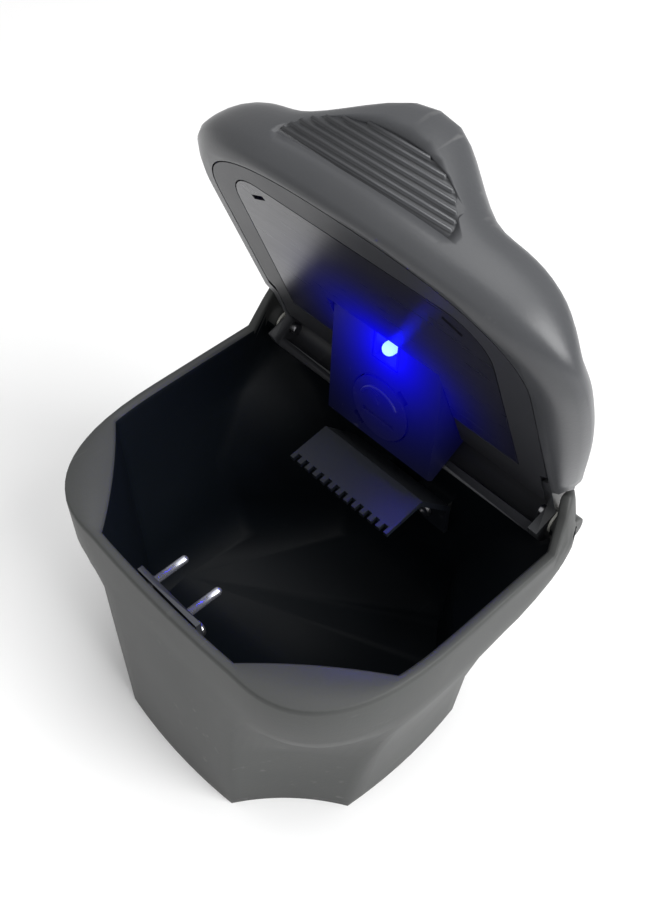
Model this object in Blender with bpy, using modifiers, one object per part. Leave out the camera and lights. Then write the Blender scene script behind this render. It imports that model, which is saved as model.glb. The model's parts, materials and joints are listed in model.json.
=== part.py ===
"""Lighted car ashtray: a tapered bucket with a hinged hood lid that carries a small battery light.

World frame, metres: origin at the centre of the base, +X right along the hinge, +Y to the back, +Z up.
The lid is modelled closed in the hinge's own frame (u forward from the axis, w up from it) and is then
turned open about the hinge, so every lid piece is a child of the empty called lid_pivot.
"""
import math

import bmesh
import bpy
from mathutils import Matrix, Vector

MM = 0.001
GAP = 0.3 * MM                    # air between two pieces that touch

# --- bucket -------------------------------------------------------------------------------------
RIM_HEIGHT = 59.2 * MM
RIM_HALF_WIDTH = 45.6 * MM
RIM_FRONT = 33.7 * MM             # rim's front edge, ahead of the centre
RIM_BACK = 39.5 * MM
RIM_BOW = 0.7 * MM                # bow of the rim's front edge
RIM_SHOULDER_Y = 3.4 * MM         # where the rounded front corner reaches the full width
RIM_CORNER_POWER = 2.6
RIM_BACK_POWER = 3.2
RIM_BACK_STRAIGHT_Y = RIM_BACK - 10.5 * MM
RIM_BACK_STRAIGHT_X = RIM_HALF_WIDTH - 9.6 * MM
BASE_HALF_WIDTH = 35.6 * MM
BASE_HALF_DEPTH = 34.9 * MM
BASE_CHAMFER = 18.0 * MM
BASE_BOW = 1.2 * MM               # outward bow of the base's straight edges
FLUTE_SAG_BASE = 1.5 * MM         # hollow of the corner flutes at the base
FLUTE_SAG_TOP = 0.9 * MM
FLUTE_TOP_X = 21.2 * MM           # where a flute starts on the front of the rim
FLUTE_TOP_Y = 12.5 * MM           # where it ends on the side, ahead of the centre
FLARE_START = RIM_HEIGHT - 28.2 * MM  # height where the corners begin to flare over the flutes
FLARE_END = RIM_HEIGHT - 11.7 * MM
BACK_FLARE_START = RIM_HEIGHT - 28.2 * MM
BACK_FLARE_END = RIM_HEIGHT - 5.2 * MM
BACK_FLUTE_TOP_X = 23.0 * MM      # where a back flute ends on the back of the rim
BACK_FLUTE_TOP_Y = 9.0 * MM       # where it starts on the side
WALL = 2.2 * MM
FLOOR = 2.6 * MM
RING_SPLIT_Z = RIM_HEIGHT - 15.2 * MM  # height at half of the ring levels
RIM_ROUND = 0.5 * MM

TOWER_HEIGHT = 10.7 * MM          # hinge towers, above the rim
TOWER_FRONT_Y = RIM_BACK - 10.0 * MM
TOWER_CREST_Y = RIM_BACK - 5.0 * MM
TOWER_INNER_HALF = RIM_HALF_WIDTH - 4.6 * MM  # where a tower ends on the back wall
TOWER_LEAN = 2.4 * MM             # inward lean over the tower's height
BACK_WALL_TOP = RIM_HEIGHT - 7.7 * MM

# --- hinge --------------------------------------------------------------------------------------
HINGE_Y = RIM_BACK - 3.5 * MM
HINGE_Z = RIM_HEIGHT
OPEN_ANGLE = 70.0                 # degrees, the pose in which the object stands
PIN_RADIUS = 1.25 * MM
PIN_BORE_GAP = 0.08 * MM
WASHER_RADIUS = 2.8 * MM
WASHER_THICK = 0.5 * MM
PIN_LENGTH = 7.6 * MM             # ends inside the boss, clear of its outer face
PIN_SEAT = 3.6 * MM               # how far a pin reaches into the lid's ear
BOSS_RADIUS = WASHER_RADIUS + 0.4 * MM
BOSS_LENGTH = 3.2 * MM

# --- lid, in the hinge frame ----------------------------------------------------------------------
LID_EDGE_W = 0.5 * MM             # the lid's lower edge, above the hinge axis
LID_HALF_WIDTH = RIM_HALF_WIDTH - 4.1 * MM
LID_FRONT_U = HINGE_Y + RIM_FRONT
LID_CORNER_U = LID_FRONT_U - 22.7 * MM
LID_REAR_U = 11.8 * MM
LID_CORNER_POWER = 2.5
LID_WALL = 2.2 * MM
BULGE_W = 5.0 * MM                # height of the dome's widest line
BULGE_HALF_WIDTH = RIM_HALF_WIDTH + 1.7 * MM
BULGE_REAR_HALF = RIM_HALF_WIDTH - 2.6 * MM
BULGE_FRONT_U = LID_FRONT_U + 1.2 * MM
CROWN_W = 14.6 * MM               # the dome's general height
CROWN_FRONT_W = 16.4 * MM
CROWN_REAR_W = 9.0 * MM
CROWN_FULL_U = 34.0 * MM
HUMP_HEIGHT = 11.4 * MM           # thumb visor, above the crown
HUMP_HALF_WIDTH = 24.6 * MM
HUMP_FLAT_HALF = 1.0 * MM
HUMP_START_U = 11.0 * MM
HUMP_FULL_U = LID_FRONT_U - 5.7 * MM
GRIP_DEPTH = 1.6 * MM             # D-shaped thumb recess in the visor's front
GRIP_CHORD_W = 7.0 * MM
GRIP_HEIGHT = 11.2 * MM
GRIP_HALF_WIDTH = 20.0 * MM
GRIP_RIB_PITCH = 1.45 * MM
GRIP_RIB_THICK = 0.55 * MM
GRIP_RIB_HEIGHT = 0.7 * MM
DOME_CENTRE_U = LID_REAR_U + 26.2 * MM
SIDE_FALL_POWER = 2.7             # how squarely the dome falls to its widest line: soft sides,
END_FALL_POWER = 12.0             # square ends,
VISOR_FALL_POWER = 10.0           # and more again on the visor
SIDE_FALL_U = LID_FRONT_U - 15.7 * MM
FRONT_FALL_U = LID_FRONT_U - 2.7 * MM
REAR_FALL_RUN = 8.0 * MM
DOME_REACHES = (0.998, 0.993, 0.983, 0.968, 0.945, 0.92, 0.89, 0.855,
                0.81, 0.75, 0.67, 0.57, 0.45, 0.31, 0.16, 0.05)
NECK_HALF_WIDTH = TOWER_INNER_HALF - 1.4 * MM
NECK_RADIUS = 5.4 * MM            # round back of the lid, about the hinge axis
NECK_TOP_W = 8.6 * MM

# --- lid lining -----------------------------------------------------------------------------------
FRAME_THICK = 1.8 * MM
SHIELD_HALF_WIDTH = LID_HALF_WIDTH - 9.9 * MM
SHIELD_FRONT_U = LID_FRONT_U - 9.7 * MM
SHIELD_THICK = 0.8 * MM
SHIELD_CORNER = 9.0 * MM
SLOT_LENGTH = 4.5 * MM
SLOT_WIDTH = 1.1 * MM
SLOT_TURN = 0.5                   # radians

# --- light unit -----------------------------------------------------------------------------------
CASE_HALF_WIDTH = 14.8 * MM
CASE_LOW_U = 2.4 * MM             # the case's deepest edge
CASE_LOW_W = -10.2 * MM
CASE_TOP_U = 31.0 * MM            # where its face runs out into the shield
CASE_WALL = 1.4 * MM
CASE_TOP_W = 7.5 * MM             # top of the case, under the dome
CASE_SHOULDER_W = 5.8 * MM        # and of its lower shoulder to the rear
CASE_TAB = (5.0 * MM, 8.0 * MM, 1.4 * MM)
CASE_TAB_U = 22.0 * MM
CASE_TAB_W = LID_EDGE_W + FRAME_THICK + 1.4 * MM
FACE_RUN = 23.0 * MM              # length of the face's slope along u
LUG_REACH = 1.2 * MM
LUG_WIDTH = 2.6 * MM
LUG_ENTRY_TURN = -50.0            # degrees from the locked position
BOARD_DEPTH = 5.0 * MM            # board, behind the face
BOARD_THICK = 1.0 * MM
BOARD_WIDTH = 20.0 * MM
BOARD_HEIGHT = 8.0 * MM
SWITCH_RADIUS = 1.4 * MM
SWITCH_LENGTH = 6.0 * MM
RESISTOR_RADIUS = 0.9 * MM
RESISTOR_LENGTH = 4.0 * MM
WIRE_RADIUS = 0.4 * MM
FLANGE_REACH = 0.35 * MM          # lamp flange, past the lamp
COIN_SLOT = (9.0 * MM, 1.4 * MM)  # length and width
COIN_SLOT_ALONG = 2.6 * MM        # below the cover's centre
POCKET_SIDE = 7.2 * MM            # square opening for the lamp
COVER_RADIUS = 7.6 * MM
COVER_THICK = 1.4 * MM
COVER_ALONG = 10.0 * MM           # cover centre, up the face from the deepest edge
LED_RADIUS = 1.5 * MM
LED_ALONG = 25.6 * MM             # lamp centre, up the face from the deepest edge
CELL_RADIUS = 6.25 * MM
CELL_THICK = 2.0 * MM

# --- inside the bucket ----------------------------------------------------------------------------
SNUFFER_HALF_WIDTH = 14.8 * MM
SNUFFER_FRONT = (HINGE_Y - 22.0 * MM, RIM_HEIGHT - 8.8 * MM)  # (y, z) of the grate's front edge
SNUFFER_BEND = (HINGE_Y - 11.3 * MM, RIM_HEIGHT - 7.3 * MM)  # where it folds down to the wall
SNUFFER_THICK = 1.2 * MM
SNUFFER_FOOT_Z = RIM_HEIGHT - 26.2 * MM
SNUFFER_KNEE_Z = RIM_HEIGHT - 17.7 * MM
SNUFFER_SCREW_X = SNUFFER_HALF_WIDTH - 5.8 * MM
SNUFFER_SCREW_Z = SNUFFER_FOOT_Z + 4.0 * MM
PAD_SIZE = (9.0 * MM, 3.0 * MM, 7.0 * MM)   # pad on the back wall under each snuffer screw
PAD_REACH = 0.9 * MM              # how far a pad stands off the wall
TOOTH_PITCH = 2.4 * MM
TOOTH_DEPTH = 1.6 * MM
PRONG_SPACING = 10.2 * MM
PRONG_RADIUS = 0.85 * MM
PRONG_LENGTH = 7.7 * MM
PRONG_Z = RIM_HEIGHT - 2.5 * MM
REST_PLATE_WIDTH = 18.0 * MM
REST_PLATE_HEIGHT = 7.0 * MM
REST_PLATE_THICK = 1.2 * MM
REST_PLATE_GAP = 0.8 * MM         # between the plate and the front wall
REST_SCREW_X = REST_PLATE_WIDTH / 2 - 2.0 * MM
REST_SCREW_Z = PRONG_Z - 3.6 * MM
SCREW_RADIUS = 0.9 * MM
SCREW_HEAD_RADIUS = 1.8 * MM
SCREW_HEAD_THICK = 1.0 * MM

HALF_COUNTS = (5, 14, 9, 9, 8)    # ring points on front, flute, side, back corner and back


# --- helpers --------------------------------------------------------------------------------------
def clear_scene():
    for item in list(bpy.data.objects):
        bpy.data.objects.remove(item, do_unlink=True)


def new_collection(name):
    collection = bpy.data.collections.new(name)
    bpy.context.scene.collection.children.link(collection)
    return collection


clear_scene()
PARTS = new_collection("car_ashtray")
CUTTERS = new_collection("cutters")


def material(name, colour, roughness, metallic=0.0, glow=0.0):
    """Return a Principled material, the colour given as linear RGB."""
    made = bpy.data.materials.new(name)
    made.use_nodes = True
    shader = made.node_tree.nodes["Principled BSDF"]
    shader.inputs["Base Color"].default_value = (*colour, 1.0)
    shader.inputs["Roughness"].default_value = roughness
    shader.inputs["Metallic"].default_value = metallic
    if glow:
        shader.inputs["Emission Color"].default_value = (*colour, 1.0)
        shader.inputs["Emission Strength"].default_value = glow
    made.diffuse_color = (*colour, 1.0)
    return made


def smooth(low, high, value):
    """Rise smoothly from 0 to 1 as value goes from low to high."""
    step = min(1.0, max(0.0, (value - low) / (high - low)))
    return step * step * (3.0 - 2.0 * step)


def mix(start, end, share):
    return start + (end - start) * share


def part(name, mesh, finish=None, parent=None, place=None):
    """Link a mesh as a sub-part, in its parent's frame."""
    made = bpy.data.objects.new(name, mesh)
    PARTS.objects.link(made)
    if finish:
        mesh.materials.clear()
        mesh.materials.append(finish)
    if parent:
        made.parent = parent
    if place:
        made.matrix_local = place
    return made


def cutter(name, mesh, parent=None, place=None):
    """Link a mesh as a hidden cutter, in its parent's frame."""
    made = bpy.data.objects.new(name, mesh)
    CUTTERS.objects.link(made)
    made.display_type = "WIRE"
    made.hide_render = True
    if parent:
        made.parent = parent
    if place:
        made.matrix_local = place
    return made


def boolean(target, tool, operation="DIFFERENCE"):
    step = target.modifiers.new(f"{operation.lower()}_{tool.name}", "BOOLEAN")
    step.operation = operation
    step.solver = "EXACT"
    step.object = tool


def mesh_from(name, build):
    """Run build on a fresh bmesh and return it as a mesh with outward faces."""
    bm = bmesh.new()
    build(bm)
    bmesh.ops.recalc_face_normals(bm, faces=bm.faces)
    mesh = bpy.data.meshes.new(name)
    bm.to_mesh(mesh)
    bm.free()
    return mesh


def smooth_shade(item, degrees=35.0):
    item.data.shade_smooth()
    item.data.set_sharp_from_angle(angle=math.radians(degrees))


def bevel(item, width, segments=2):
    step = item.modifiers.new("edges", "BEVEL")
    step.width = width
    step.segments = segments
    step.limit_method = "ANGLE"
    step.angle_limit = math.radians(40.0)


def box_mesh(name, size, centre=(0.0, 0.0, 0.0)):
    def build(bm):
        cube = bmesh.ops.create_cube(bm, size=1.0)
        bmesh.ops.scale(bm, vec=size, verts=cube["verts"])
        bmesh.ops.translate(bm, vec=centre, verts=cube["verts"])
    return mesh_from(name, build)


def rod_mesh(name, radius, length, axis="Z", centre=(0.0, 0.0, 0.0), sides=32, tip=None):
    """A cylinder or, with a tip radius, a cone, about one axis."""
    turn = {"X": Matrix.Rotation(math.pi / 2, 4, "Y"), "Y": Matrix.Rotation(-math.pi / 2, 4, "X"),
            "Z": Matrix.Identity(4)}[axis]

    def build(bm):
        bmesh.ops.create_cone(bm, cap_ends=True, segments=sides, radius1=radius,
                              radius2=radius if tip is None else tip, depth=length,
                              matrix=Matrix.Translation(centre) @ turn)
    return mesh_from(name, build)


def prism_mesh(name, outline, half_width):
    """Extrude a (y, z) outline along X, from -half_width to half_width."""
    def build(bm):
        corners = [bm.verts.new((-half_width, y, z)) for y, z in outline]
        face = bm.faces.new(corners)
        pushed = bmesh.ops.extrude_face_region(bm, geom=[face])
        moved = [item for item in pushed["geom"] if isinstance(item, bmesh.types.BMVert)]
        bmesh.ops.translate(bm, vec=(2.0 * half_width, 0.0, 0.0), verts=moved)
    return mesh_from(name, build)


def slab_mesh(name, outline, low, high):
    """Extrude an (x, y) outline from low to high."""
    def build(bm):
        corners = [bm.verts.new((x, y, low)) for x, y in outline]
        face = bm.faces.new(corners)
        pushed = bmesh.ops.extrude_face_region(bm, geom=[face])
        moved = [item for item in pushed["geom"] if isinstance(item, bmesh.types.BMVert)]
        bmesh.ops.translate(bm, vec=(0.0, 0.0, high - low), verts=moved)
    return mesh_from(name, build)


def loft_mesh(name, rings, closed_ends=True):
    """Join rings of equal length into a skin, with a flat face over each end."""
    def build(bm):
        rows = [[bm.verts.new(point) for point in ring] for ring in rings]
        count = len(rows[0])
        for lower, upper in zip(rows, rows[1:]):
            for index in range(count):
                after = (index + 1) % count
                bm.faces.new((lower[index], lower[after], upper[after], upper[index]))
        if closed_ends:
            bm.faces.new(rows[0])
            bm.faces.new(rows[-1])
    return mesh_from(name, build)


def joined_mesh(name, meshes):
    """Put several closed meshes into one."""
    bm = bmesh.new()
    for mesh in meshes:
        bm.from_mesh(mesh)
        bpy.data.meshes.remove(mesh)
    mesh = bpy.data.meshes.new(name)
    bm.to_mesh(mesh)
    bm.free()
    return mesh


def turned_mesh(name, profile, sides):
    """Turn an (r, z) profile, whose ends lie on the Z axis, into a solid."""
    def build(bm):
        verts = [bm.verts.new((radius, 0.0, z)) for radius, z in profile]
        edges = [bm.edges.new(pair) for pair in zip(verts, verts[1:])]
        bmesh.ops.spin(bm, geom=verts + edges, cent=(0.0, 0.0, 0.0), axis=(0.0, 0.0, 1.0),
                       angle=2.0 * math.pi, steps=sides)
        bmesh.ops.remove_doubles(bm, verts=bm.verts, dist=0.001 * MM)
    return mesh_from(name, build)


def screw_mesh(name, shank_length):
    """A pan-head screw along -Z, its head's underside at the origin."""
    crown = SCREW_HEAD_THICK
    profile = [(0.0, crown * 0.55), (0.5 * MM, crown * 0.55), (0.6 * MM, crown),
               (SCREW_HEAD_RADIUS * 0.6, crown),
               (SCREW_HEAD_RADIUS * 0.88, crown * 0.75), (SCREW_HEAD_RADIUS, crown * 0.35),
               (SCREW_HEAD_RADIUS, 0.0), (SCREW_RADIUS, 0.0), (SCREW_RADIUS, -shank_length * 0.8),
               (0.0, -shank_length)]
    return turned_mesh(name, profile, 20)


def screw(name, shank_length, place, parent=None):
    made = part(name, screw_mesh(name, shank_length), STEEL, parent, place)
    smooth_shade(made)
    return made


# --- bucket outlines ------------------------------------------------------------------------------
def spread(function, count, first=False):
    """Sample function over 0..1, leaving the start out unless first is set."""
    start = 0 if first else 1
    return [function(index / count) for index in range(start, count + 1)]


def line(start, end):
    return lambda share: (mix(start[0], end[0], share), mix(start[1], end[1], share))


def sagged(start, end, sag):
    """A line from start to end that sags inward, towards the axis, by sag at its middle."""
    run = Vector((end[0] - start[0], end[1] - start[1]))
    inward = Vector((-run.y, run.x)).normalized()
    middle = Vector(((start[0] + end[0]) / 2, (start[1] + end[1]) / 2))
    if inward.dot(middle) > 0:
        inward.negate()

    def point(share):
        depth = sag * 4.0 * share * (1.0 - share)
        return (mix(start[0], end[0], share) + inward.x * depth,
                mix(start[1], end[1], share) + inward.y * depth)
    return point


def front_edge_y(x):
    """The rim's front edge, bowed forward by a little at its middle."""
    return -RIM_FRONT + RIM_BOW * (x / FLUTE_TOP_X) ** 2


def front_corner(angle):
    """The rim's rounded front corner: angle runs from the front (0) to the side (90 degrees)."""
    power = 2.0 / RIM_CORNER_POWER
    reach_x = RIM_HALF_WIDTH - FLUTE_TOP_X
    reach_y = RIM_SHOULDER_Y - front_edge_y(FLUTE_TOP_X)
    return (FLUTE_TOP_X + reach_x * math.sin(angle) ** power,
            RIM_SHOULDER_Y - reach_y * max(0.0, math.cos(angle)) ** power)


def back_corner(share):
    """The rim's rounded back corner, from the side (0) to the back (1)."""
    power = 2.0 / RIM_BACK_POWER
    angle = share * math.pi / 2
    reach_x = RIM_HALF_WIDTH - RIM_BACK_STRAIGHT_X
    reach_y = RIM_BACK - RIM_BACK_STRAIGHT_Y
    return (RIM_BACK_STRAIGHT_X + reach_x * max(0.0, math.cos(angle)) ** power,
            RIM_BACK_STRAIGHT_Y + reach_y * math.sin(angle) ** power)


def flute_end_angle():
    """The angle on the front corner at which a flute's back edge meets the rim."""
    low, high = 0.0, math.pi / 2
    for _ in range(40):
        middle = (low + high) / 2
        if front_corner(middle)[1] < -FLUTE_TOP_Y:
            low = middle
        else:
            high = middle
    return low


def side_run(end_angle, stop_y):
    """The rim's side, from the front flute's end round the shoulder back to stop_y."""
    start = front_corner(end_angle)

    def point(share):
        y = mix(start[1], stop_y, share)
        if y >= RIM_SHOULDER_Y:
            return RIM_HALF_WIDTH, y
        low, high = end_angle, math.pi / 2
        for _ in range(40):
            middle = (low + high) / 2
            if front_corner(middle)[1] < y:
                low = middle
            else:
                high = middle
        return front_corner(low)[0], y
    return point


def rim_half():
    """The rim's right half, from the front centre to the back centre."""
    front, flute, side, corner, back = HALF_COUNTS
    end_angle = flute_end_angle()
    points = spread(lambda share: (FLUTE_TOP_X * share, front_edge_y(FLUTE_TOP_X * share)), front, True)
    points += spread(lambda share: front_corner(end_angle * share ** 1.15), flute)
    points += spread(side_run(end_angle, RIM_BACK_STRAIGHT_Y), side)
    points += spread(back_corner, corner)
    points += spread(line((RIM_BACK_STRAIGHT_X, RIM_BACK), (0.0, RIM_BACK)), back)
    return points


def throat_half():
    """The section that the flutes would have at the rim without the flare over them."""
    front, flute, side, corner, back = HALF_COUNTS
    points = rim_half()[:front + 1]
    flute_end = front_corner(flute_end_angle())
    back_start = (RIM_HALF_WIDTH, BACK_FLUTE_TOP_Y)
    back_end = (BACK_FLUTE_TOP_X, RIM_BACK)
    points += spread(sagged(points[-1], flute_end, FLUTE_SAG_TOP), flute)
    points += spread(side_run(flute_end_angle(), BACK_FLUTE_TOP_Y), side)
    points += spread(sagged(back_start, back_end, FLUTE_SAG_TOP), corner)
    return points + spread(line(back_end, (0.0, RIM_BACK)), back)


def base_half():
    """The base's right half: an octagon with hollow corners."""
    front, flute, side, corner, back = HALF_COUNTS
    flat_x = BASE_HALF_WIDTH - BASE_CHAMFER
    flat_y = BASE_HALF_DEPTH - BASE_CHAMFER
    bowed = BASE_HALF_DEPTH + BASE_BOW
    points = spread(lambda share: (flat_x * share, -bowed + BASE_BOW * share ** 2), front, True)
    points += spread(sagged((flat_x, -BASE_HALF_DEPTH), (BASE_HALF_WIDTH, -flat_y), FLUTE_SAG_BASE), flute)
    points += spread(sagged((BASE_HALF_WIDTH, -flat_y), (BASE_HALF_WIDTH, flat_y), -BASE_BOW), side)
    points += spread(sagged((BASE_HALF_WIDTH, flat_y), (flat_x, BASE_HALF_DEPTH), FLUTE_SAG_BASE), corner)
    points += spread(lambda share: (flat_x * (1.0 - share), bowed - BASE_BOW * (1.0 - share) ** 2), back)
    return points


def full_ring(half):
    """Close a right half into a ring, counter-clockwise from the front centre."""
    return half + [(-x, y) for x, y in reversed(half[1:-1])]


def inset(ring, depth):
    """Move each point of a counter-clockwise ring inward by depth."""
    moved = []
    for index, (x, y) in enumerate(ring):
        before = ring[index - 1]
        after = ring[(index + 1) % len(ring)]
        one = Vector((x - before[0], y - before[1])).normalized()
        two = Vector((after[0] - x, after[1] - y)).normalized()
        inward = (Vector((-one.y, one.x)) + Vector((-two.y, two.x))).normalized()
        cosine = max(0.5, inward.dot(Vector((-one.y, one.x))))
        moved.append((x + inward.x * depth / cosine, y + inward.y * depth / cosine))
    return moved


BASE_RING = full_ring(base_half())
THROAT_RING = full_ring(throat_half())
RIM_RING = full_ring(rim_half())


def body_section(z, flared):
    """The bucket's outline at height z; flared adds the rim's overhang above the front flutes."""
    share = min(1.0, z / RIM_HEIGHT)
    front_flare = smooth(FLARE_START, FLARE_END, z)
    back_flare = smooth(BACK_FLARE_START, BACK_FLARE_END, z)
    lean = 1.0 - TOWER_LEAN / RIM_HALF_WIDTH * max(0.0, z - RIM_HEIGHT) / TOWER_HEIGHT
    section = []
    for base, throat, rim in zip(BASE_RING, THROAT_RING, RIM_RING):
        behind = smooth(0.0, RIM_BACK_STRAIGHT_Y, rim[1])
        over = mix(front_flare if flared else 0.0, back_flare, behind)
        x = mix(mix(base[0], throat[0], share), rim[0], over)
        y = mix(mix(base[1], throat[1], share), rim[1], over)
        section.append((x * lean, y))
    return section


def top_height(y):
    """The height of the rim line: flat, then up over the hinge towers."""
    rise = TOWER_HEIGHT * smooth(TOWER_FRONT_Y, TOWER_CREST_Y, y)
    crest_fall = 2.5 * MM * smooth(TOWER_CREST_Y + 1.0 * MM, RIM_BACK, y)
    return RIM_HEIGHT + rise - crest_fall


def bucket_rings(levels, depth, flared, top_gap, floor):
    """Rings from the floor up to the rim line, moved inward by depth."""
    tops = [top_height(y) - top_gap for _, y in RIM_RING]
    split = RING_SPLIT_Z
    rings = []
    for level in levels:
        ring = []
        for index, top in enumerate(tops):
            low = mix(floor, split, min(1.0, level * 2.0))
            z = low if level <= 0.5 else mix(split, top, level * 2.0 - 1.0)
            ring.append((index, z))
        rings.append(ring)
    return [[section_point(index, z, depth, flared) for index, z in ring] for ring in rings]


def section_point(index, z, depth, flared):
    section = SECTIONS.setdefault((round(z / MM, 3), depth, flared), None)
    if section is None:
        section = inset(body_section(z, flared), depth) if depth else body_section(z, flared)
        SECTIONS[(round(z / MM, 3), depth, flared)] = section
    x, y = section[index]
    return x, y, z


SECTIONS = {}


def bucket_mesh():
    """Outer skin up, over the rim, and down the inner skin to the floor."""
    up = [0.0, 0.02, 0.14, 0.28, 0.42, 0.5, 0.62, 0.72, 0.8, 0.87, 0.93, 0.97]
    down = [0.96, 0.9, 0.82, 0.7, 0.58, 0.5, 0.34, 0.17, 0.0]
    outer = bucket_rings(up, 0.0, True, RIM_ROUND, 0.0)
    outer += bucket_rings([1.0], 0.15 * MM, True, RIM_ROUND * 0.35, 0.0)
    outer += bucket_rings([1.0], RIM_ROUND, True, 0.0, 0.0)
    inner = bucket_rings([1.0], WALL - RIM_ROUND, False, 0.0, FLOOR)
    inner += bucket_rings([1.0], WALL, False, RIM_ROUND, FLOOR)
    inner += bucket_rings(down, WALL, False, RIM_ROUND, FLOOR)
    return loft_mesh("bucket", outer + inner)


# --- lid outlines, in the hinge frame (x, u) ----------------------------------------------------------
class Outline:
    """A lid outline: round front, sides that draw in to the back, and a straight back edge."""

    def __init__(self, half_width, front_u, rear_half, depth=0.0):
        self.half_width = half_width - depth
        self.front_u = front_u - depth
        self.rear_half = rear_half - depth
        self.rear_u = LID_REAR_U + depth
        self.depth = depth

    def front(self, share):
        angle = share * math.pi / 2
        power = 2.0 / LID_CORNER_POWER
        return (self.half_width * math.sin(angle) ** power,
                LID_CORNER_U + (self.front_u - LID_CORNER_U) * max(0.0, math.cos(angle)) ** power)

    def side(self, share):
        corner_u = self.rear_u + 2.0 * MM
        return (mix(self.rear_half, self.half_width, math.sin(math.pi / 2 * (1.0 - share))),
                mix(LID_CORNER_U, corner_u, share))

    def half(self):
        corner = (self.rear_half - 2.0 * MM, self.rear_u)
        points = spread(self.front, 24, True) + spread(self.side, 11)
        points += spread(line(points[-1], corner), 2)
        return points + spread(line(corner, (0.0, self.rear_u)), 7)

    def ring(self):
        return full_ring(self.half())


def visor_share(x):
    """How much of the thumb visor stands at x: all of it in the middle, none beyond its foot."""
    return smooth(HUMP_HALF_WIDTH, HUMP_FLAT_HALF, abs(x))


def crown_height(x, u):
    """The dome's height over (x, u), with the thumb visor along its middle."""
    rise = mix(CROWN_REAR_W, CROWN_W, smooth(LID_REAR_U, CROWN_FULL_U, u))
    rise += (CROWN_FRONT_W - CROWN_W) * smooth(SIDE_FALL_U, HUMP_FULL_U, u)
    return rise + HUMP_HEIGHT * smooth(HUMP_START_U, HUMP_FULL_U, u) * visor_share(x)


def dome_point(x, u, reach, depth):
    """A point of the dome's top: reach runs from its middle (0) to its widest line (1)."""
    px, pu = x * reach, mix(DOME_CENTRE_U, u, reach)
    front = smooth(SIDE_FALL_U, FRONT_FALL_U, u)
    rear = smooth(LID_REAR_U + REAR_FALL_RUN, LID_REAR_U, u)
    power = mix(SIDE_FALL_POWER, END_FALL_POWER, max(front, rear))
    power += VISOR_FALL_POWER * visor_share(px) * front
    fall = math.sqrt(max(0.0, 1.0 - reach ** power))
    pw = BULGE_W + (crown_height(px, pu) - depth - BULGE_W) * fall
    return px, -pu, pw


def dome_mesh(name, depth, low_w):
    """The dome's solid; a depth makes the smaller solid that hollows it."""
    edge = Outline(LID_HALF_WIDTH, LID_FRONT_U, LID_HALF_WIDTH, depth).ring()
    bulge = Outline(BULGE_HALF_WIDTH, BULGE_FRONT_U, BULGE_REAR_HALF, depth).ring()
    rings = [[(x, -u, low_w) for x, u in edge]] if low_w < LID_EDGE_W else []
    for share in (0.0, 0.3, 0.65, 1.0):
        out = math.sin(share * math.pi / 2)
        w = mix(LID_EDGE_W, BULGE_W, share)
        rings.append([(mix(a[0], b[0], out), -mix(a[1], b[1], out), w) for a, b in zip(edge, bulge)])
    for reach in DOME_REACHES:
        rings.append([dome_point(x, u, reach, depth) for x, u in bulge])
    return loft_mesh(name, rings)


def neck_outline(depth):
    """The lid's narrow back in section: round about the hinge axis and flat on top."""
    radius = NECK_RADIUS - depth
    front_u = LID_REAR_U + 4.0 * MM + depth
    points = [(-front_u, NECK_TOP_W - depth), (-8.0 * MM, NECK_TOP_W - depth)]
    for degrees in range(75, 271, 15):
        angle = math.radians(degrees)
        points.append((-radius * math.cos(angle), radius * math.sin(angle)))
    if depth:
        return points[:-1] + [(0.0, -radius), (0.0, -2 * NECK_RADIUS), (-front_u, -2 * NECK_RADIUS)]
    return points + [(-2.5 * MM, -radius), (-2.5 * MM, LID_EDGE_W), (-front_u, LID_EDGE_W)]


def strip_outline(points, thick):
    """A bent strip's (y, z) outline: its upper path and the same path moved down by thick."""
    lower = []
    for index, (y, z) in enumerate(points):
        before = points[max(0, index - 1)]
        after = points[min(len(points) - 1, index + 1)]
        one = Vector((y - before[0], z - before[1]))
        two = Vector((after[0] - y, after[1] - z))
        run = (one.normalized() + two.normalized()).normalized() if one.length and two.length else one + two
        normal = Vector((run.y, -run.x)).normalized()
        ends = one if one.length else two
        cosine = max(0.5, abs(normal.dot(Vector((ends.y, -ends.x)).normalized())))
        lower.append((y + normal.x * thick / cosine, z + normal.y * thick / cosine))
    return list(points) + lower[::-1]


# --- materials --------------------------------------------------------------------------------------
BODY_PLASTIC = material("body_plastic", (0.035, 0.037, 0.038), 0.55)
LID_PLASTIC = material("lid_plastic", (0.036, 0.037, 0.04), 0.48)
FRAME_PLASTIC = material("frame_plastic", (0.022, 0.023, 0.025), 0.5)
SHIELD_METAL = material("shield_metal", (0.3, 0.3, 0.31), 0.4, 0.8)
CASE_PLASTIC = material("case_plastic", (0.012, 0.013, 0.015), 0.4)
COVER_PLASTIC = material("cover_plastic", (0.016, 0.016, 0.02), 0.35)
GRATE_METAL = material("grate_metal", (0.03, 0.034, 0.045), 0.35, 0.6)
REST_METAL = material("rest_metal", (0.35, 0.36, 0.4), 0.3, 0.9)
STEEL = material("steel", (0.55, 0.55, 0.56), 0.3, 1.0)
WASHER_NYLON = material("washer_nylon", (0.5, 0.5, 0.47), 0.5)
CELL_STEEL = material("cell_steel", (0.6, 0.6, 0.6), 0.25, 1.0)
CONTACT_BRASS = material("contact_brass", (0.6, 0.45, 0.18), 0.3, 1.0)
BOARD_GREEN = material("board_green", (0.02, 0.12, 0.05), 0.45)
LAMP_BLUE = material("lamp_blue", (0.05, 0.2, 1.0), 0.1, 0.0, 20.0)
REFLECTOR = material("reflector", (0.75, 0.75, 0.78), 0.2, 0.3)
RESISTOR = material("resistor", (0.35, 0.25, 0.12), 0.5)
LEAD_RED = material("lead_red", (0.4, 0.02, 0.02), 0.45)
LEAD_BLACK = material("lead_black", (0.01, 0.01, 0.01), 0.45)


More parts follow.
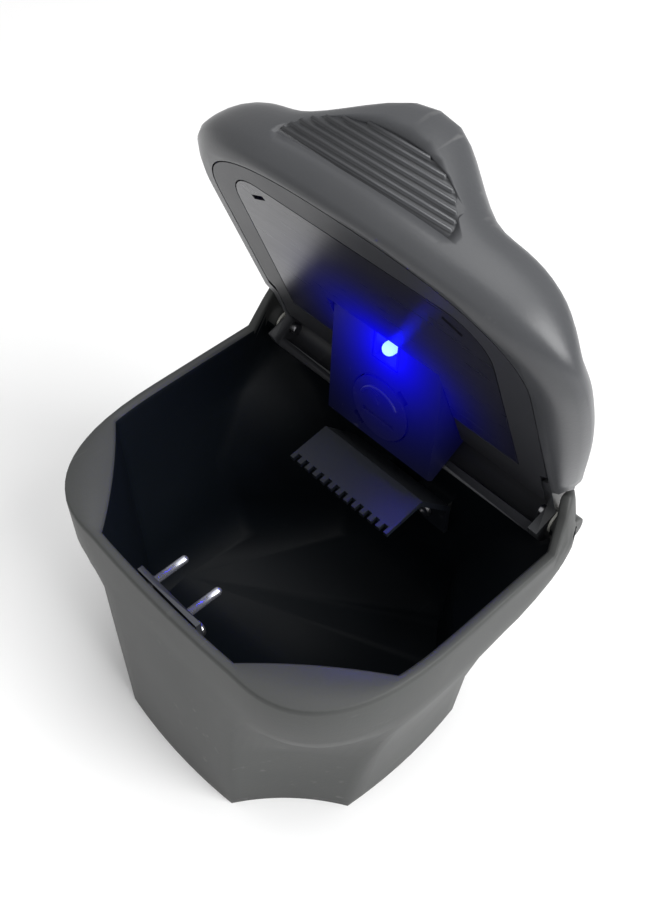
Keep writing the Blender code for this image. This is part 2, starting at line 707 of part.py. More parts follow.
# --- frames that pieces are placed in ---------------------------------------------------------------
def pivot(name, parent, place):
    empty = bpy.data.objects.new(name, None)
    PARTS.objects.link(empty)
    empty.parent = parent
    empty.matrix_local = place
    return empty


LID_PIVOT = pivot("lid_pivot", None, Matrix.Translation((0.0, HINGE_Y, HINGE_Z))
                  @ Matrix.Rotation(math.radians(-OPEN_ANGLE), 4, "X"))
FACE_ANGLE = math.atan2(-CASE_LOW_W, FACE_RUN)
# On the light unit's face: origin at its deepest edge, -Y up along the face, -Z out of it.
FACE_PIVOT = pivot("light_face", LID_PIVOT, Matrix.Translation((0.0, -CASE_LOW_U, CASE_LOW_W))
                   @ Matrix.Rotation(-FACE_ANGLE, 4, "X"))
COVER_PIVOT = pivot("battery_cover_axis", FACE_PIVOT, Matrix.Translation((0.0, -COVER_ALONG, 0.0)))


# --- bucket and what is fixed in it -----------------------------------------------------------------
def back_wall_inner_y(z):
    return mix(BASE_HALF_DEPTH, RIM_BACK, z / RIM_HEIGHT) - WALL * 1.01


def build_bucket():
    bucket = part("bucket", bucket_mesh(), BODY_PLASTIC)
    boss_x = TOWER_INNER_HALF - GAP + BOSS_LENGTH / 2
    bosses = [rod_mesh("boss", BOSS_RADIUS, BOSS_LENGTH, "X", (side * boss_x, HINGE_Y, HINGE_Z), 40)
              for side in (-1, 1)]
    pad_y = back_wall_inner_y(SNUFFER_SCREW_Z) - PAD_REACH + PAD_SIZE[1] / 2
    pads = [box_mesh("pad", PAD_SIZE, (side * SNUFFER_SCREW_X, pad_y, SNUFFER_SCREW_Z)) for side in (-1, 1)]
    reach = 30.0 * MM
    notch = box_mesh("back_notch", (2 * TOWER_INNER_HALF, reach, reach),
                     (0.0, TOWER_FRONT_Y - GAP + reach / 2, BACK_WALL_TOP + reach / 2))
    boolean(bucket, cutter("back_notch", notch))
    adds = cutter("bucket_bosses", joined_mesh("bucket_bosses", bosses + pads))
    boolean(bucket, adds, "UNION")
    bore_x = TOWER_INNER_HALF + 3.0 * MM
    bores = [rod_mesh("bore", PIN_RADIUS + PIN_BORE_GAP, 14.0 * MM, "X", (side * bore_x, HINGE_Y, HINGE_Z))
             for side in (-1, 1)]
    boolean(bucket, cutter("hinge_bores", joined_mesh("hinge_bores", bores)))
    for name, spots, reach in (("snuffer_screw_holes", snuffer_screw_spots(), 4.2 * MM),
                               ("rest_screw_holes", rest_screw_spots(), 1.9 * MM)):
        holes = [screw_hole(spot, reach) for spot in spots]
        boolean(bucket, cutter(name, joined_mesh(name, holes)))
    smooth_shade(bucket, 30.0)
    return bucket


def screw_hole(place, reach):
    hole = rod_mesh("hole", SCREW_RADIUS + GAP, reach + 3.0 * MM, sides=16,
                    centre=(0.0, 0.0, 1.5 * MM - reach / 2))
    hole.transform(place)
    return hole


def snuffer_wall_y():
    """The back face of the snuffer's flange, against the pads."""
    return back_wall_inner_y(SNUFFER_SCREW_Z) - PAD_REACH - GAP


def snuffer_screw_spots():
    """Places of the snuffer's screws: head to the front, on the wall flange."""
    y = snuffer_wall_y() - SNUFFER_THICK - GAP
    face_front = Matrix.Rotation(math.radians(90.0), 4, "X")
    return [Matrix.Translation((side * SNUFFER_SCREW_X, y, SNUFFER_SCREW_Z)) @ face_front for side in (-1, 1)]


def rest_screw_spots():
    face_back = Matrix.Rotation(math.radians(-90.0), 4, "X")
    y = rest_plate_y() + REST_PLATE_THICK / 2 + GAP
    return [Matrix.Translation((side * REST_SCREW_X, y, REST_SCREW_Z)) @ face_back for side in (-1, 1)]


def build_snuffer():
    """A folded plate: toothed grate, strut down to the wall, and a flange screwed to its pads."""
    wall_y = snuffer_wall_y()
    path = [(wall_y, SNUFFER_FOOT_Z), (wall_y, SNUFFER_KNEE_Z), SNUFFER_BEND, SNUFFER_FRONT]
    outline = strip_outline(path[::-1], SNUFFER_THICK)
    plate = part("snuffer_plate", prism_mesh("snuffer_plate", outline, SNUFFER_HALF_WIDTH), GRATE_METAL)
    count = int(SNUFFER_HALF_WIDTH * 2 / TOOTH_PITCH)
    notches = [box_mesh("notch", (TOOTH_PITCH / 2, 2 * TOOTH_DEPTH, 6.0 * MM),
                        ((index - (count - 1) / 2) * TOOTH_PITCH, SNUFFER_FRONT[0], SNUFFER_FRONT[1]))
               for index in range(count)]
    boolean(plate, cutter("snuffer_notches", joined_mesh("snuffer_notches", notches)))
    holes = [screw_hole(spot, 3.0 * MM) for spot in snuffer_screw_spots()]
    boolean(plate, cutter("snuffer_holes", joined_mesh("snuffer_holes", holes)))
    for word, spot in zip(("left", "right"), snuffer_screw_spots()):
        screw(f"snuffer_screw_{word}", 3.9 * MM, spot)


def rest_plate_y():
    return -RIM_FRONT + WALL + REST_PLATE_GAP + REST_PLATE_THICK / 2


def build_cigarette_rest():
    """A small plate on the front wall with two round prongs."""
    y = rest_plate_y()
    shapes = [box_mesh("plate", (REST_PLATE_WIDTH, REST_PLATE_THICK, REST_PLATE_HEIGHT),
                       (0.0, y, PRONG_Z - REST_PLATE_HEIGHT / 2 + 1.0 * MM))]
    rest = part("cigarette_rest", shapes[0], REST_METAL)
    prongs = []
    for side in (-1, 1):
        centre = (side * PRONG_SPACING / 2, y + PRONG_LENGTH / 2, PRONG_Z)
        prongs.append(rod_mesh("prong", PRONG_RADIUS, PRONG_LENGTH, "Y", centre, 20))
        tip = mesh_from("tip", lambda bm, c=centre: bmesh.ops.create_uvsphere(
            bm, u_segments=20, v_segments=10, radius=PRONG_RADIUS * 1.02,
            matrix=Matrix.Translation((c[0], c[1] + PRONG_LENGTH / 2, c[2]))))
        prongs.append(tip)
    for mesh in prongs:
        boolean(rest, cutter("rest_prong", mesh), "UNION")
    holes = [screw_hole(spot, 2.0 * MM) for spot in rest_screw_spots()]
    boolean(rest, cutter("rest_holes", joined_mesh("rest_holes", holes)))
    for word, spot in zip(("left", "right"), rest_screw_spots()):
        screw(f"rest_screw_{word}", 2.4 * MM, spot)


def build_hinge():
    for side, word in ((-1, "left"), (1, "right")):
        pin = rod_mesh(f"hinge_pin_{word}", PIN_RADIUS, PIN_LENGTH, "X")
        pin_x = NECK_HALF_WIDTH - PIN_SEAT + PIN_LENGTH / 2
        place = Matrix.Translation((side * pin_x, HINGE_Y, HINGE_Z))
        made = part(f"hinge_pin_{word}", pin, STEEL, place=place)
        bevel(made, 0.2 * MM)
        ring = rod_mesh(f"friction_washer_{word}", WASHER_RADIUS, WASHER_THICK, "X")
        place = Matrix.Translation((side * (NECK_HALF_WIDTH + GAP + WASHER_THICK / 2), HINGE_Y, HINGE_Z))
        washer = part(f"friction_washer_{word}", ring, WASHER_NYLON, place=place)
        hole = rod_mesh("washer_hole", PIN_RADIUS + PIN_BORE_GAP, 4.0 * MM, "X")
        boolean(washer, cutter(f"washer_hole_{word}", hole, place=place))


# --- lid --------------------------------------------------------------------------------------------
def add_grip(shell):
    """Sink a D-shaped recess in the visor's front, and raise straight ribs on its floor."""
    floor_u = BULGE_FRONT_U - GRIP_DEPTH
    upright = Matrix.Rotation(math.radians(90.0), 4, "X")
    arc = [math.pi * step / 32 for step in range(33)]
    outline = [(GRIP_HALF_WIDTH * math.cos(angle), GRIP_CHORD_W + GRIP_HEIGHT * math.sin(angle))
               for angle in arc]
    recess = slab_mesh("grip_recess", outline, floor_u, BULGE_FRONT_U + 2.0 * MM)
    boolean(shell, cutter("grip_recess", recess, LID_PIVOT, upright))
    ribs = []
    rib_w = GRIP_CHORD_W + GRIP_RIB_PITCH
    while rib_w < GRIP_CHORD_W + GRIP_HEIGHT - GRIP_RIB_PITCH / 2:
        share = (rib_w + GRIP_RIB_THICK / 2 - GRIP_CHORD_W) / GRIP_HEIGHT
        half = GRIP_HALF_WIDTH * math.sqrt(1.0 - share ** 2) - GAP
        ribs.append(box_mesh("rib", (2 * half, GRIP_RIB_HEIGHT + GAP, GRIP_RIB_THICK),
                             (0.0, -(floor_u + (GRIP_RIB_HEIGHT - GAP) / 2), rib_w)))
        rib_w += GRIP_RIB_PITCH
    boolean(shell, cutter("grip_ribs", joined_mesh("grip_ribs", ribs), LID_PIVOT), "UNION")


def build_lid_shell():
    shell = part("lid_shell", dome_mesh("lid_shell", 0.0, LID_EDGE_W), LID_PLASTIC, LID_PIVOT)
    neck = prism_mesh("neck", neck_outline(0.0), NECK_HALF_WIDTH)
    boolean(shell, cutter("neck", neck, LID_PIVOT), "UNION")
    hollow = dome_mesh("dome_hollow", LID_WALL, LID_EDGE_W - 2.0 * MM)
    boolean(shell, cutter("dome_hollow", hollow, LID_PIVOT))
    neck_hollow = prism_mesh("neck_hollow", neck_outline(2.0 * MM), NECK_HALF_WIDTH - LID_WALL)
    boolean(shell, cutter("neck_hollow", neck_hollow, LID_PIVOT))
    add_grip(shell)
    ear_x = NECK_HALF_WIDTH - 1.6 * MM
    bores = [rod_mesh("bore", PIN_RADIUS + PIN_BORE_GAP, 8.0 * MM, "X", (side * ear_x, 0.0, 0.0))
             for side in (-1, 1)]
    boolean(shell, cutter("ear_bores", joined_mesh("ear_bores", bores), LID_PIVOT))
    smooth_shade(shell, 35.0)
    return shell


def shield_outline(grow):
    """The heat shield's (x, y) outline, larger by grow: round front corners."""
    half = SHIELD_HALF_WIDTH + grow
    front = SHIELD_FRONT_U + grow
    rear = 14.6 * MM - grow
    radius = SHIELD_CORNER + grow
    points = []
    for corner_x, start in ((half - radius, 0), (-(half - radius), 90)):
        for step in range(9):
            angle = math.radians(start + step * 90 / 8)
            points.append((corner_x + radius * math.cos(angle),
                           -(front - radius) - radius * math.sin(angle)))
    return points + [(-half, -rear), (half, -rear)]


def frame_outline():
    edge = Outline(LID_HALF_WIDTH, LID_FRONT_U, LID_HALF_WIDTH, LID_WALL + GAP)
    half = [point for point in edge.half()[:27]]
    step_half = NECK_HALF_WIDTH - LID_WALL - GAP
    half += [(half[-1][0], LID_REAR_U + 6.0 * MM), (step_half, LID_REAR_U + 4.5 * MM), (step_half, 5.0 * MM)]
    ring = half + [(-x, u) for x, u in reversed(half[1:])]
    return [(x, -u) for x, u in ring]


def build_lid_lining():
    low = LID_EDGE_W
    frame = part("lid_inner_frame", slab_mesh("lid_inner_frame", frame_outline(), low,
                                              low + FRAME_THICK + 0.4 * MM), FRAME_PLASTIC, LID_PIVOT)
    seat = slab_mesh("seat", shield_outline(GAP), low - 1.0 * MM, low + SHIELD_THICK + GAP)
    boolean(frame, cutter("shield_seat", seat, LID_PIVOT))
    through = slab_mesh("through", shield_outline(-2.5 * MM), low - 1.0 * MM, low + 5.0 * MM)
    boolean(frame, cutter("frame_window", through, LID_PIVOT))
    case_hole = box_mesh("case_hole", (2 * (CASE_HALF_WIDTH + GAP), 40.0 * MM, 20.0 * MM),
                         (0.0, -(CASE_TOP_U + GAP) + 20.0 * MM, low))
    boolean(frame, cutter("case_hole", case_hole, LID_PIVOT))
    shield = part("heat_shield", slab_mesh("heat_shield", shield_outline(0.0), low, low + SHIELD_THICK),
                  SHIELD_METAL, LID_PIVOT)
    notch = box_mesh("shield_notch", (2 * (CASE_HALF_WIDTH + GAP), 40.0 * MM, 6.0 * MM),
                     (0.0, -(CASE_TOP_U + GAP) + 20.0 * MM, low))
    boolean(shield, cutter("shield_notch", notch, LID_PIVOT))
    for side in (-1, 1):
        slot = box_mesh("shield_slot", (SLOT_LENGTH, SLOT_WIDTH, 4.0 * MM))
        spot = (side * (SHIELD_HALF_WIDTH - 7.8 * MM), -(SHIELD_FRONT_U - 3.7 * MM), low)
        place = Matrix.Translation(spot) @ Matrix.Rotation(side * SLOT_TURN, 4, "Z")
        boolean(shield, cutter(f"shield_slot_{'left' if side < 0 else 'right'}", slot, LID_PIVOT, place))
    smooth_shade(frame, 30.0)


# --- light unit -------------------------------------------------------------------------------------
def case_outline(depth):
    """The case in section; with a depth, the hollow inside it, open upward."""
    top_w = CASE_TOP_W + 2.0 * depth
    face_top_w = CASE_LOW_W + (CASE_TOP_U - CASE_LOW_U) * math.tan(FACE_ANGLE)
    out = depth / math.cos(FACE_ANGLE)
    corner = [(-(CASE_LOW_U - 1.6 * MM + depth), CASE_LOW_W + 0.9 * MM + depth * 1.2)]
    corner.append((-(CASE_LOW_U + depth * 0.6), CASE_LOW_W + depth * 1.35))
    face = [(-(CASE_TOP_U - depth), face_top_w + out - depth * math.tan(FACE_ANGLE)),
            (-(CASE_TOP_U - depth), top_w)]
    shoulder = [(-(17.5 * MM + depth), top_w), (-(15.5 * MM + depth), CASE_SHOULDER_W + 2.0 * depth)]
    return corner + face + shoulder + [(-(3.0 * MM + depth), 2.6 * MM + depth)]


def build_light_case():
    case = part("light_case", prism_mesh("light_case", case_outline(0.0), CASE_HALF_WIDTH), CASE_PLASTIC,
                LID_PIVOT)
    tab_x = CASE_HALF_WIDTH + CASE_TAB[0] / 2 - 1.0 * MM
    tabs = [box_mesh("tab", CASE_TAB, (side * tab_x, -CASE_TAB_U, CASE_TAB_W)) for side in (-1, 1)]
    boolean(case, cutter("case_tabs", joined_mesh("case_tabs", tabs), LID_PIVOT), "UNION")
    hollow = prism_mesh("case_hollow", case_outline(CASE_WALL), CASE_HALF_WIDTH - CASE_WALL)
    boolean(case, cutter("case_hollow", hollow, LID_PIVOT))
    bore = rod_mesh("cover_bore", COVER_RADIUS + GAP, 8.0 * MM, sides=48)
    boolean(case, cutter("cover_bore", bore, COVER_PIVOT))
    entry_reach = COVER_RADIUS + LUG_REACH + 2 * GAP
    entry = box_mesh("lug_entry", (2 * entry_reach, LUG_WIDTH + 2 * GAP, 8.0 * MM))
    turn = Matrix.Rotation(math.radians(LUG_ENTRY_TURN), 4, "Z")
    boolean(case, cutter("lug_entry", entry, COVER_PIVOT, turn))
    pocket = box_mesh("lamp_pocket", (POCKET_SIDE, POCKET_SIDE, 8.0 * MM), (0.0, -LED_ALONG, 0.0))
    boolean(case, cutter("lamp_pocket", pocket, FACE_PIVOT))
    for side in (-1, 1):
        hole = rod_mesh("tab_hole", SCREW_RADIUS + GAP, 6.0 * MM, sides=16)
        boolean(case, cutter(f"tab_hole_{'left' if side < 0 else 'right'}", hole, LID_PIVOT,
                             case_screw_spot(side)))
    smooth_shade(case, 30.0)


def case_screw_spot(side):
    """A case screw's place: its head sits on the tab, inside the lid."""
    tab_top = CASE_TAB_W + CASE_TAB[2] / 2
    return Matrix.Translation((side * (CASE_HALF_WIDTH + 2.2 * MM), -CASE_TAB_U, tab_top + GAP))


def build_case_screws():
    frame = bpy.data.objects["lid_inner_frame"]
    for side, word in ((-1, "left"), (1, "right")):
        screw(f"case_screw_{word}", 2.4 * MM, case_screw_spot(side), LID_PIVOT)
        hole = rod_mesh("frame_hole", SCREW_RADIUS + GAP, 12.0 * MM, sides=16)
        boolean(frame, cutter(f"frame_hole_{word}", hole, LID_PIVOT, case_screw_spot(side)))


def build_battery_cover():
    """A round bayonet cover: disc, hub and two lugs, with a coin slot and a raised arrow."""
    disc = rod_mesh("battery_cover", COVER_RADIUS, COVER_THICK + 0.3 * MM, sides=48,
                    centre=(0.0, 0.0, (COVER_THICK - 0.3 * MM) / 2))
    cover = part("battery_cover", disc, COVER_PLASTIC, COVER_PIVOT)
    hub = rod_mesh("hub", COVER_RADIUS - 0.7 * MM, 2.6 * MM, sides=48, centre=(0.0, 0.0, 1.9 * MM))
    boolean(cover, cutter("cover_hub", hub, COVER_PIVOT), "UNION")
    lugs = box_mesh("lugs", (2 * (COVER_RADIUS + LUG_REACH), LUG_WIDTH, 1.0 * MM),
                    (0.0, 0.0, CASE_WALL + GAP + 0.6 * MM))
    boolean(cover, cutter("cover_lugs", lugs, COVER_PIVOT), "UNION")
    slot = box_mesh("coin_slot", (*COIN_SLOT, 1.4 * MM), (0.0, COIN_SLOT_ALONG, -0.3 * MM))
    boolean(cover, cutter("coin_slot", slot, COVER_PIVOT))
    arrow = [(-0.6, -1.0), (0.6, -1.0), (0.6, -3.0), (1.7, -3.0), (0.0, -5.2), (-1.7, -3.0), (-0.6, -3.0)]
    mark = slab_mesh("arrow", [(x * MM, y * MM) for x, y in arrow], -0.6 * MM, 0.2 * MM)
    boolean(cover, cutter("cover_arrow", mark, COVER_PIVOT, Matrix.Rotation(math.radians(-35.0), 4, "Z")),
            "UNION")
    smooth_shade(cover, 30.0)


def build_cell_and_contacts():
    cell_low = 3.6 * MM
    cell = rod_mesh("coin_cell", CELL_RADIUS, CELL_THICK, sides=48)
    made = part("coin_cell", cell, CELL_STEEL, COVER_PIVOT,
                Matrix.Translation((0.0, 0.0, cell_low + CELL_THICK / 2)))
    bevel(made, 0.25 * MM)
    back = cell_low + CELL_THICK + GAP
    negative = part("contact_negative", box_mesh("contact_negative", (3.0 * MM, 7.5 * MM, 0.3 * MM),
                    (0.0, -1.0 * MM, back + 0.15 * MM)), CONTACT_BRASS, COVER_PIVOT)
    dimple = rod_mesh("dimple", 1.0 * MM, 0.5 * MM, sides=16, centre=(0.0, 0.0, back + 0.35 * MM))
    boolean(negative, cutter("contact_dimple", dimple, COVER_PIVOT), "UNION")
    positive = part("contact_positive", box_mesh("contact_positive", (4.0 * MM, 0.3 * MM, 3.6 * MM),
                    (0.0, -(CELL_RADIUS + GAP + 0.15 * MM), cell_low + 1.8 * MM)), CONTACT_BRASS, COVER_PIVOT)
    foot = box_mesh("contact_foot", (4.0 * MM, 2.4 * MM, 0.3 * MM),
                    (0.0, -(CELL_RADIUS + GAP + 1.2 * MM), cell_low + 3.45 * MM))
    boolean(positive, cutter("contact_foot", foot, COVER_PIVOT), "UNION")


def build_lamp():
    """The reflector, the lamp that stands in it, and the board behind them."""
    side = POCKET_SIDE - 2 * GAP
    spot = Matrix.Translation((0.0, -LED_ALONG, 0.0))
    cup = part("led_reflector", box_mesh("led_reflector", (side, side, 3.2 * MM), (0.0, 0.0, 1.7 * MM)),
               REFLECTOR, FACE_PIVOT, spot)

    def funnel(bm):
        bmesh.ops.create_cone(bm, cap_ends=True, segments=4, radius1=side * 0.66, radius2=2.6 * MM,
                              depth=2.4 * MM, matrix=Matrix.Translation((0.0, 0.0, 0.8 * MM))
                              @ Matrix.Rotation(math.radians(45.0), 4, "Z"))
    boolean(cup, cutter("reflector_funnel", mesh_from("funnel", funnel), FACE_PIVOT, spot))
    hole = rod_mesh("lamp_hole", LED_RADIUS + GAP, 8.0 * MM, sides=32)
    boolean(cup, cutter("lamp_hole", hole, FACE_PIVOT, spot))

    body_low, body_high = 0.9 * MM, BOARD_DEPTH - GAP
    body = rod_mesh("led", LED_RADIUS, body_high - body_low, sides=32,
                    centre=(0.0, 0.0, (body_low + body_high) / 2))
    lamp = part("led", body, LAMP_BLUE, FACE_PIVOT, spot)
    dome = mesh_from("led_dome", lambda bm: bmesh.ops.create_uvsphere(
        bm, u_segments=32, v_segments=16, radius=LED_RADIUS * 0.998,
        matrix=Matrix.Translation((0.0, 0.0, body_low + 0.1 * MM))))
    boolean(lamp, cutter("led_dome", dome, FACE_PIVOT, spot), "UNION")
    flange = rod_mesh("led_flange", LED_RADIUS + FLANGE_REACH, 0.8 * MM, sides=32,
                      centre=(0.0, 0.0, body_high - 0.4 * MM))
    boolean(lamp, cutter("led_flange", flange, FACE_PIVOT, spot), "UNION")
    smooth_shade(lamp)

    board = box_mesh("light_board", (BOARD_WIDTH, BOARD_HEIGHT, BOARD_THICK))
    part("light_board", board, BOARD_GREEN, FACE_PIVOT,
         Matrix.Translation((0.0, -LED_ALONG + 0.8 * MM, BOARD_DEPTH + BOARD_THICK / 2)))
    top = BOARD_DEPTH + BOARD_THICK + GAP
    can = rod_mesh("tilt_switch", SWITCH_RADIUS, SWITCH_LENGTH, "X", sides=24)
    switch = part("tilt_switch", can, STEEL, FACE_PIVOT,
                  Matrix.Translation((5.0 * MM, -LED_ALONG + 1.5 * MM, top + SWITCH_RADIUS)))
    bevel(switch, 0.25 * MM)
    resistor = part("resistor", rod_mesh("resistor", RESISTOR_RADIUS, RESISTOR_LENGTH, "X", sides=20),
                    RESISTOR, FACE_PIVOT,
                    Matrix.Translation((-5.5 * MM, -LED_ALONG + 1.5 * MM, top + RESISTOR_RADIUS)))
    bevel(resistor, 0.3 * MM)


def lead(name, points, finish):
    """A thin insulated wire through points on the light unit's face frame."""
    curve = bpy.data.curves.new(name, "CURVE")
    curve.dimensions = "3D"
    curve.bevel_depth = WIRE_RADIUS
    curve.bevel_resolution = 2
    curve.use_fill_caps = True
    spline = curve.splines.new("POLY")
    steps = 5
    smoothed = []
    for index in range(len(points) - 1):
        a, b = points[max(0, index - 1)], points[index]
        c, d = points[index + 1], points[min(len(points) - 1, index + 2)]
        for step in range(steps):
            t = step / steps
            smoothed.append([0.5 * (2 * q + (r - p) * t + (2 * p - 5 * q + 4 * r - s) * t * t
                                    + (3 * q - p - 3 * r + s) * t ** 3) * MM
                             for p, q, r, s in zip(a, b, c, d)])
    smoothed.append([value * MM for value in points[-1]])
    spline.points.add(len(smoothed) - 1)
    for target, spot in zip(spline.points, smoothed):
        target.co = (*spot, 1.0)
    wire = bpy.data.objects.new(name, curve)
    PARTS.objects.link(wire)
    curve.materials.append(finish)
    wire.parent = FACE_PIVOT


def build_leads():
    """Two leads from the cell's contacts to the board."""
    route = [(3.2, -17.9, 6.2), (4.6, -19.0, 6.6), (6.0, -20.0, 7.2), (6.6, -20.9, 8.2)]
    lead("lead_positive", route, LEAD_RED)
    lead("lead_negative", [(-2.4, -11.5, 6.8), (-4.6, -14.5, 7.6), (-6.5, -18.0, 8.0), (-7.4, -20.6, 7.9)],
         LEAD_BLACK)


def main():
    build_bucket()
    build_snuffer()
    build_cigarette_rest()
    build_hinge()
    build_lid_shell()
    build_lid_lining()
    build_light_case()
    build_case_screws()
    build_battery_cover()
    build_cell_and_contacts()
    build_lamp()
    build_leads()


main()
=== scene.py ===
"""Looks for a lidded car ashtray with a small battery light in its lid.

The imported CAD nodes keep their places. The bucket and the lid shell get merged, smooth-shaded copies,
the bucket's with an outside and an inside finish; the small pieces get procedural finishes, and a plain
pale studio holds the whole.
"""
import json
import logging
import math
from dataclasses import dataclass
from enum import Enum
from typing import Callable, Optional

import bmesh
import bpy
from mathutils import Matrix, Vector


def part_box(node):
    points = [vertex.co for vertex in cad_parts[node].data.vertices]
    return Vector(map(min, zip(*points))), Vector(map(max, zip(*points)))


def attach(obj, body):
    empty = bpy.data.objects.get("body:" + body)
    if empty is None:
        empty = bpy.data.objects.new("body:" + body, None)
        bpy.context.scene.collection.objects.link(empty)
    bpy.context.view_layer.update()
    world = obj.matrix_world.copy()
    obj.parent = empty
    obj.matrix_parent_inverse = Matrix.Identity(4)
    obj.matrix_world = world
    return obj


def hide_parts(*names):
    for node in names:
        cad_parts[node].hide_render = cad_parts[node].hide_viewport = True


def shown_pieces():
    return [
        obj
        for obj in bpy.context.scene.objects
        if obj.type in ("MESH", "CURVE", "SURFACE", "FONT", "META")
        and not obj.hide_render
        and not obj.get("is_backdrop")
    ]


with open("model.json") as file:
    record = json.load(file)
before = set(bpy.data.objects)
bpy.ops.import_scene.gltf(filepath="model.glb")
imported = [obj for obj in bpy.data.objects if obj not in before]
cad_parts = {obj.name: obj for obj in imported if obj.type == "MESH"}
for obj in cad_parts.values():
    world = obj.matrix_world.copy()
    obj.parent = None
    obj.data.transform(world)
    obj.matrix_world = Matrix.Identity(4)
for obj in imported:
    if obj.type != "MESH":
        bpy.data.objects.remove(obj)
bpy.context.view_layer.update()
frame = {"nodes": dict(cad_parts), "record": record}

LOG = logging.getLogger("ashtray")
Colour = tuple[float, float, float]

WELD = 0.000005                   # metres, under which a copy's points are merged

# --- shared shader values -------------------------------------------------------------------------
GRAIN_SHARE = 0.35                # weight of the fine grain beside the flow marks
LINE_STRETCH = (0.04, 1.0, 1.0)   # draws the brushed lines out along X
SCUFF_TURN = (0.5, 0.3, 0.9)
SCUFF_STRETCH = (1.0, 0.05, 1.0)
SCUFF_SCALE = 420.0
SCUFF_RANGE = (0.66, 0.74)        # noise values between which a scuff appears
PATCH_SCALE = 35.0
PATCH_RANGE = (0.5, 0.65)         # and those between which scuffs gather
DUST_SLOPE = 0.2                  # the normal's rise past which dust settles
DUST_COLOUR = (0.42, 0.42, 0.41, 1.0)
DUST_ROUGHNESS = 0.4
GLOW_SHADE = -3.5                 # how quickly the surface goes black under the painted blue lamp glow
MIX_FIRST, MIX_SECOND, MIX_RESULT = 6, 7, 2   # colour sockets of a Mix node


# --- shared shader effects ----------------------------------------------------------------------
class Detail(Enum):
    """The fine surface patterns a finish can carry."""

    MOULDED = "moulded"
    BRUSHED = "brushed"


def new_group(name: str, inputs: list[tuple[str, str, object]],
              outputs: list[tuple[str, str]]) -> bpy.types.NodeTree:
    """Make an empty shader group with its sockets.

    Args:
        name: The group's name.
        inputs: Each input's name, socket type and default value.
        outputs: Each output's name and socket type.

    Returns:
        The new node tree, with its input and output nodes placed.
    """
    group = bpy.data.node_groups.new(name, "ShaderNodeTree")
    for label, kind, value in inputs:
        socket = group.interface.new_socket(name=label, in_out="INPUT", socket_type=kind)
        socket.default_value = value
    for label, kind in outputs:
        group.interface.new_socket(name=label, in_out="OUTPUT", socket_type=kind)
    group.nodes.new("NodeGroupInput").name = "in"
    group.nodes.new("NodeGroupOutput").name = "out"
    return group


